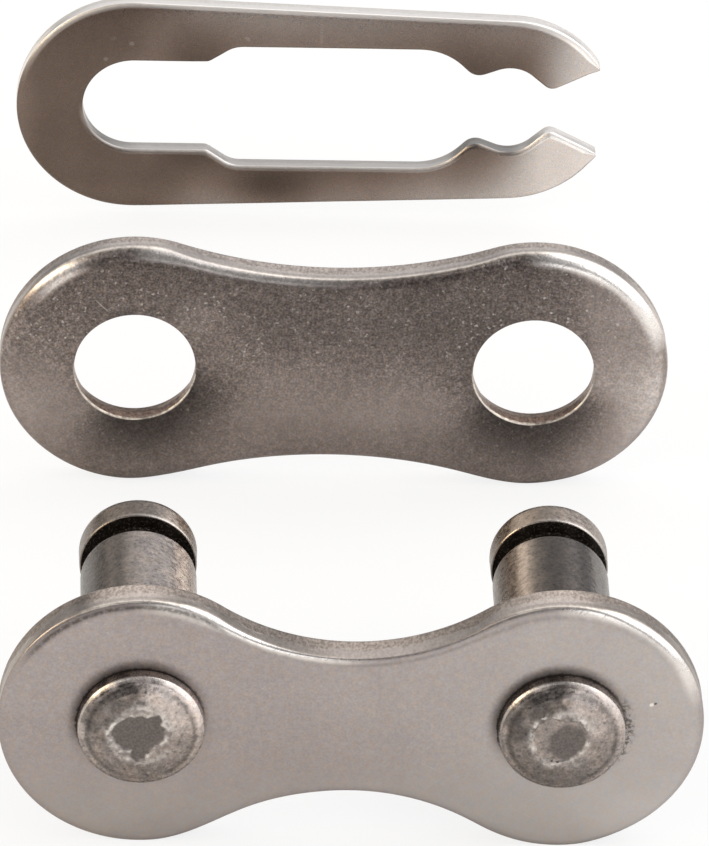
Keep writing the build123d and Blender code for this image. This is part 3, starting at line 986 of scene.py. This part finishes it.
def stake_mark(stake, core, dx, z, radius, seed):
    """How much deeper the riveted head lies at a point of its face, and its marks there.

    core is the radius within which the stake's mark is dull, to the lower right of its middle.
    """
    ragged = depth_in(stake, dx, z) + 0.03 * wave(dx, seed, z, 9.0, seed)
    sunk = smooth(-0.01, 0.05, ragged)
    lip = exp(-((ragged + 0.06) / 0.07) ** 2)
    lip *= smooth(-0.35, 0.35, wave(dx, seed, z, 4.2, 2 * seed))
    deeper = 0.035 * sunk - 0.014 * lip
    deeper += 0.006 * wave(dx, seed, z, 5.0, seed) * (1 - 0.7 * sunk)
    # fine rings left by the turning
    deeper += 0.0015 * sin(radius * 42) * (1 - sunk) * smooth(0.9, 1.2, radius)
    border = exp(-((radius - 0.97) / 0.09) ** 2) * (1 - sunk)
    border *= smooth(-0.5, 0.3, wave(dx, seed, z, 1.6, 3 * seed))
    reach = hypot(dx - 0.19, z + 0.12) + 0.12 * wave(dx, seed, z, 3.0, seed)
    return deeper, {"mark": sunk * smooth(core + 0.08, core - 0.08, reach),
                    "rim": min(1.0, 0.7 * lip + 0.35 * border)}


def pin_marks(x, y, radius, angle, stripes, seed):
    """The marks of a point on the pin at x, apart from those that stake_mark gives."""
    marks = {}
    tone = 0.0
    if y > PLATE_BACK:
        drift = angle + 0.04 * wave(0, y, 0, 1.2, seed)
        chosen = stripes[1] if y > SHANK_END + 0.1 else stripes[0]
        # painted reflections: brighter and duller stripes round the shank and end head
        tone = sum(much * stripe(drift, there, width) for there, width, much in chosen)
        tone -= 0.5 * smooth(PIN_END - 0.45, PIN_END - 0.1, y)
        # a tan tint: beside the shanks' bright stripes a painted golden reflection, on the end
        # heads a browner colour
        marks["tan"] = stripe(angle, 2.2, 0.5) * (0.6 if x < 0 else 1.0)
        marks["tan"] += 0.4 * stripe(angle, 0.7, 0.3) * (x < 0) + 0.3 * (y > SHANK_END)
    elif radius > 0.9:
        tone = dome_tone(angle, radius, seed) - (0.33 if x > 0 else 0.0)
    marks["tone"] = tone
    # the groove, and where the pin goes into the plate, are darkened: partly dirt, partly painted
    # shade
    if SHANK_END - 0.01 < y < HEAD_START + 0.01 and radius < PIN_RADIUS - 0.02:
        marks["dirt"] = 1.0
    if PLATE_FRONT - 0.02 < y < PLATE_BACK + 0.12:
        marks["dirt"] = 0.8
    # the end head's inner edge and the riveted head's shoulder are polished, and carry painted
    # highlights at set angles
    if abs(y - HEAD_START) < 0.06 and radius > PIN_RADIUS - 0.06:
        marks["edge"] = 0.12 + 0.5 * stripe(angle, 0.9, 0.7)
    if abs(y - RIVET_SHOULDER + 0.02) < 0.06 and radius > 1.85:
        marks["edge"] = 0.20 + 0.45 * stripe(angle, 1.1, 0.7) + 0.5 * stripe(angle, 2.4, 0.5)
    return marks


def make_pin(name, x, material, stake, core, stripes, seed, segments=240):
    """A pin: rings of points round its axis, closed by a middle point at both ends."""
    shell = Shell()
    centre = shell.add(x, RIVET_TOP + 0.045, 0, mark=1.0)
    flat = [Vector((0.03 * k, RIVET_FACE)) for k in range(1, 31)]
    rings = []
    for radius, y in flat + pin_section():
        ring = []
        for k in range(segments):
            angle = 2 * pi * k / segments
            dx, z = radius * cos(angle), radius * sin(angle)
            marks = pin_marks(x, y, radius, angle, stripes, seed)
            along, wide = y, radius
            if y < RIVET_TOP + 0.32 and radius < 1.9:
                deeper, stake_marks = stake_mark(stake, core, dx, z, radius, seed)
                along = max(along + deeper, RIVET_TOP)
                marks.update(stake_marks)
            elif PLATE_BACK < y < PIN_END:
                wide += 0.004 * wave(dx, y, z, 1.5, seed) - 0.003
            ring.append(shell.add(x + wide * cos(angle), along, wide * sin(angle), **marks))
        rings.append(ring)
    for k in range(segments):
        shell.faces.append((centre, rings[0][k], rings[0][(k + 1) % segments]))
    for ring, following in zip(rings, rings[1:]):
        shell.bridge(ring, following)
    end = shell.add(x, PIN_END, 0)
    for k in range(segments):
        shell.faces.append((end, rings[-1][(k + 1) % segments], rings[-1][k]))
    return shell.make(name, material)


# painted reflections: brighter and duller stripes along the shank, then round the end head: angle,
# width, strength
LEFT_STRIPES = (
    [(0.72, 0.25, 1.8), (0.30, 0.25, 0.3), (1.40, 0.25, 0.2), (1.93, 0.12, -0.9),
     (2.60, 0.50, -2.0), (3.20, 0.35, -0.9), (0.0, 0.22, -0.5)],
    [(0.80, 0.28, 1.0), (1.57, 0.45, -0.8), (2.50, 0.50, -0.9), (0.05, 0.3, -0.6),
     (3.10, 0.30, -0.9)],
)
RIGHT_STRIPES = (
    [(2.15, 0.18, 1.3), (1.57, 0.40, -2.0), (1.02, 0.18, -1.7), (0.50, 0.30, -1.6),
     (3.10, 0.40, -1.1)],
    [(2.20, 0.25, 0.6), (1.70, 0.30, -0.3), (0.75, 0.25, 0.2), (0.20, 0.35, -0.8),
     (3.10, 0.30, -0.7)],
)
for node, x, material, stake, core, stripes, seed in (
    ("left_pin", -HALF_PITCH, left_pin_steel, LEFT_STAKE, 2.0, LEFT_STRIPES, 1.3),
    ("right_pin", HALF_PITCH, right_pin_steel, RIGHT_STAKE, 0.62, RIGHT_STRIPES, 4.1),
):
    pin = make_pin(node + "_turned", x, material, stake, core, stripes, seed)
    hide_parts(node)
    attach(pin, "pin_link")


# ---- floor, lights, camera -------------------------------------------------------------------
def make_floor():
    """A plain pale floor that is nearly white to the camera, and still takes a soft shadow."""
    shell = Shell()
    shell.faces.append(tuple(
        shell.add(x * FLOOR_HALF, y * FLOOR_HALF, -LOBE_RADIUS)
        for x, y in ((-1, -1), (1, -1), (1, 1), (-1, 1))
    ))
    material = bpy.data.materials.new("floor")
    material.use_nodes = True
    g = Graph(material.node_tree)
    shader = material.node_tree.nodes["Principled BSDF"]
    g.feed(shader.inputs["Base Color"], FLOOR_GREY)
    shader.inputs["Roughness"].default_value = 0.9
    shader.inputs["Specular IOR Level"].default_value = 0.0
    output = material.node_tree.nodes["Material Output"]
    path = g.add("LightPath")
    seen = g.plus(path.outputs["Is Camera Ray"], path.outputs["Is Transmission Ray"], clamp=True)
    white = g.add("Emission", Color=(1, 1, 1), Strength=1.0).outputs[0]
    mixed = g.add(
        "MixShader", i0=g.times(seen, 0.82), i1=shader.outputs[0], i2=white).outputs[0]
    g.tree.links.new(mixed, output.inputs["Surface"])
    floor = shell.make("floor", material)


def soft_box(name, direction, wide, high, radiance, colour=(1, 1, 1)):
    """A rectangular lamp; its sides are in metres."""
    data = bpy.data.lights.new(name, "AREA")
    data.color = colour
    data.shape = "RECTANGLE"
    data.size, data.size_y = wide, high
    data.energy = radiance * pi * wide * high
    lamp = bpy.data.objects.new(name, data)
    lamp.location = Vector(direction).normalized() * LAMP_DISTANCE + Vector(LAMP_AIM) * MM
    lamp.rotation_euler = (-Vector(direction)).to_track_quat("-Z", "Y").to_euler()
    bpy.context.scene.collection.objects.link(lamp)


def make_world():
    """An even studio, brighter behind and to the right, that the camera sees as white."""
    world = bpy.data.worlds.new("studio")
    bpy.context.scene.world = world
    world.use_nodes = True
    g = Graph(world.node_tree)
    shader = world.node_tree.nodes["Background"]
    direction = g.add("TexCoord").outputs["Generated"]
    x, y, z = g.add("SeparateXYZ", Vector=direction).outputs
    behind = g.step(y, 0.05, 0.45)
    above = g.step(z, 0.25, 0.8)
    level = g.blend(above, 0.15, 0.30)
    level = g.plus(level, g.step(x, -0.3, 0.9, 0.0, 0.35))
    level = g.blend(behind, level, g.step(z, 0.0, 0.42, 0.26, 1.0))
    path = g.add("LightPath")
    level = g.blend(path.outputs["Is Camera Ray"], level, 1.0)
    g.feed(shader.inputs["Color"], (1, 1, 1))
    g.feed(shader.inputs["Strength"], level)


def make_camera():
    """The photograph's view: from the front and above, with a long lens."""
    data = bpy.data.cameras.new("camera")
    data.sensor_width = SENSOR
    data.lens = SENSOR * FOCAL_LENGTH / PHOTO_HEIGHT
    data.clip_start = 0.01
    data.clip_end = 20
    camera = bpy.data.objects.new("camera", data)
    bpy.context.scene.collection.objects.link(camera)
    right = Vector(CAMERA_RIGHT).normalized()
    back = right.cross(Vector(CAMERA_UP)).normalized()
    up = back.cross(right)
    camera.matrix_world = Matrix.Translation(Vector(CAMERA_PLACE) * MM) @ Matrix(
        (right, up, back)).transposed().to_4x4()
    bpy.context.scene.camera = camera


make_floor()
soft_box("right_window", (0.85, 0.0, 0.45), 1.05, 0.42, 1.3)
soft_box("top_right", (0.47, 0.10, 0.85), 0.62, 0.26, 1.4)
soft_box("left_lamp", (-0.87, -0.12, 0.40), 0.46, 0.22, 4.6, (1.0, 0.85, 0.62))
soft_box("front_left", (-0.43, -0.68, 0.60), 0.20, 0.20, 1.2)
soft_box("front_right", (0.27, -0.95, 0.11), 0.18, 0.10, 1.6)
make_world()
make_camera()
bpy.context.scene.view_settings.view_transform = "Standard"
